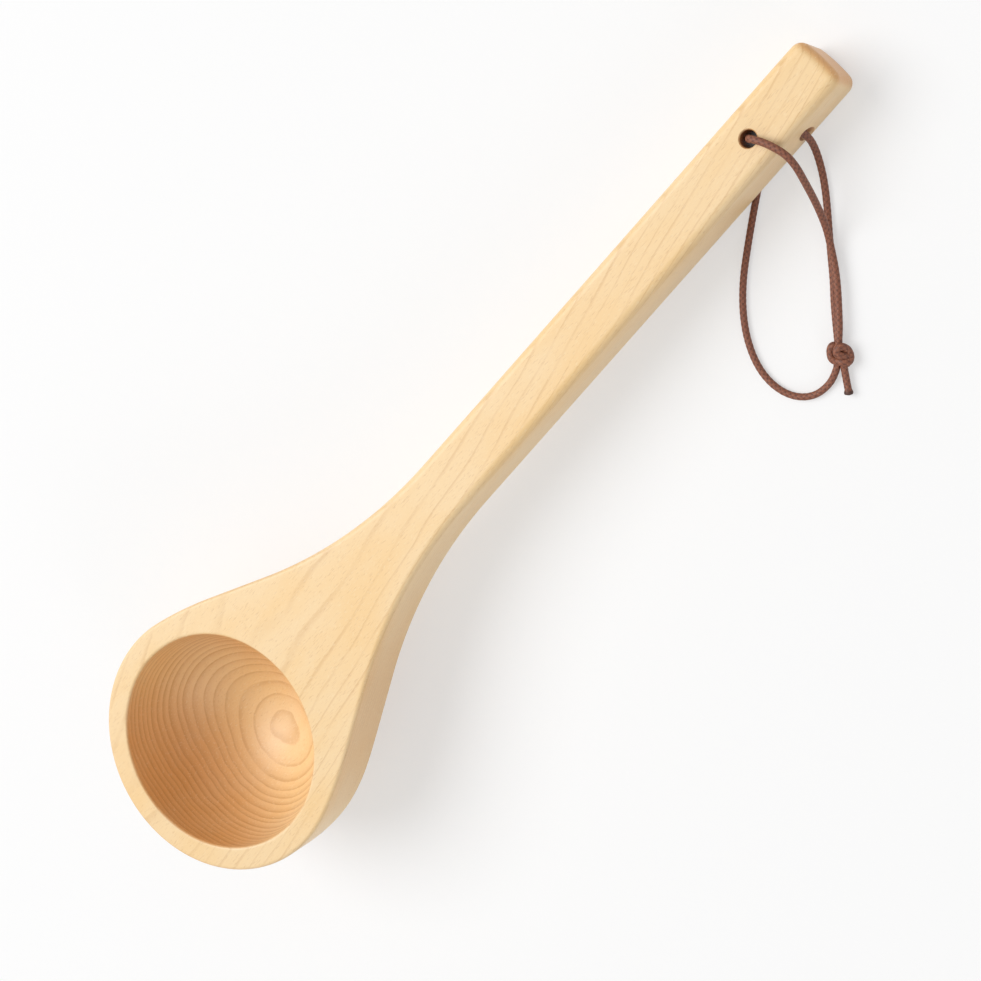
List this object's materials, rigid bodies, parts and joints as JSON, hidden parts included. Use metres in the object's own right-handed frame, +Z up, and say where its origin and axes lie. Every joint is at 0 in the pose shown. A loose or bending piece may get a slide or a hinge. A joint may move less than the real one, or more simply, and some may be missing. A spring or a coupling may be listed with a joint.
{
  "type": "wooden sauna ladle",
  "caption": "Carved wooden ladle with a round bowl, a long straight handle and a knotted hanging cord, for pouring water in a sauna.",
  "frame": {"origin": "on the surface that the ladle rests on, under the middle of the ladle's box", "axes": "+X along the ladle from the bowl to the handle's end, +Z up, the hanging cord lies on the -Y side"},
  "size_m": [0.3758, 0.1251, 0.0539],
  "materials": {
    "wood": "smooth sanded pale softwood, satin",
    "cord": "round brown lace, dull"
  },
  "bodies": {
    "root": {"ladle": "wood", "cord_side_strand": "cord", "cord_loop": "cord", "cord_tail": "cord", "cord_knot": "cord"}
  },
  "joints": []
}
